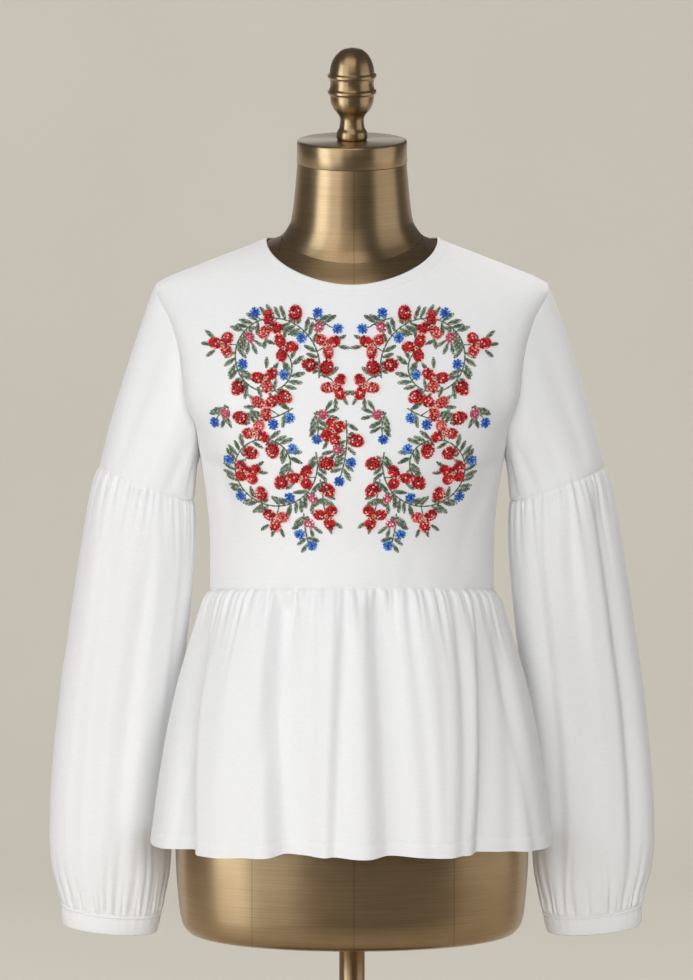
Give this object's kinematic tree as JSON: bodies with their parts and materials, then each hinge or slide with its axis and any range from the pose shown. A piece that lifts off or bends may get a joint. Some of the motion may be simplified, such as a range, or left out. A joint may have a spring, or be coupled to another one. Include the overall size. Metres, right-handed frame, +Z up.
{
  "type": "knit top on dress form",
  "caption": "White jersey peplum top with balloon sleeves and an embroidered yoke, worn by a limbless brass dress form on a short stand.",
  "frame": {"origin": "centre of the stand foot's underside, on the surface it stands on", "axes": "+Z up along the pole, the garment's front faces -Y, its wearer's left is +X"},
  "size_m": [0.6076, 0.3, 1.1392],
  "materials": {
    "white_jersey": "fine single jersey knit, soft and matt",
    "brushed_brass": "antique brass, brushed round the body",
    "turned_brass": "antique brass, turned, with fine lines round it",
    "red_beads": "beaded and knotted thread, satin",
    "pink_beads": "beaded and knotted thread, satin",
    "blue_beads": "beaded and knotted thread, satin",
    "green_thread": "satin stitch in stranded thread"
  },
  "bodies": {
    "root": {"bodice_front": "white_jersey", "bodice_back": "white_jersey", "neckband": "white_jersey", "upper_sleeve_left": "white_jersey", "upper_sleeve_right": "white_jersey", "balloon_sleeve_left": "white_jersey", "balloon_sleeve_right": "white_jersey", "cuff_left": "white_jersey", "cuff_right": "white_jersey", "peplum_front": "white_jersey", "peplum_back": "white_jersey", "form_torso": "brushed_brass", "neck_cap": "turned_brass", "finial": "turned_brass", "stand_pole": "turned_brass", "stand_foot": "turned_brass"}
  },
  "joints": []
}
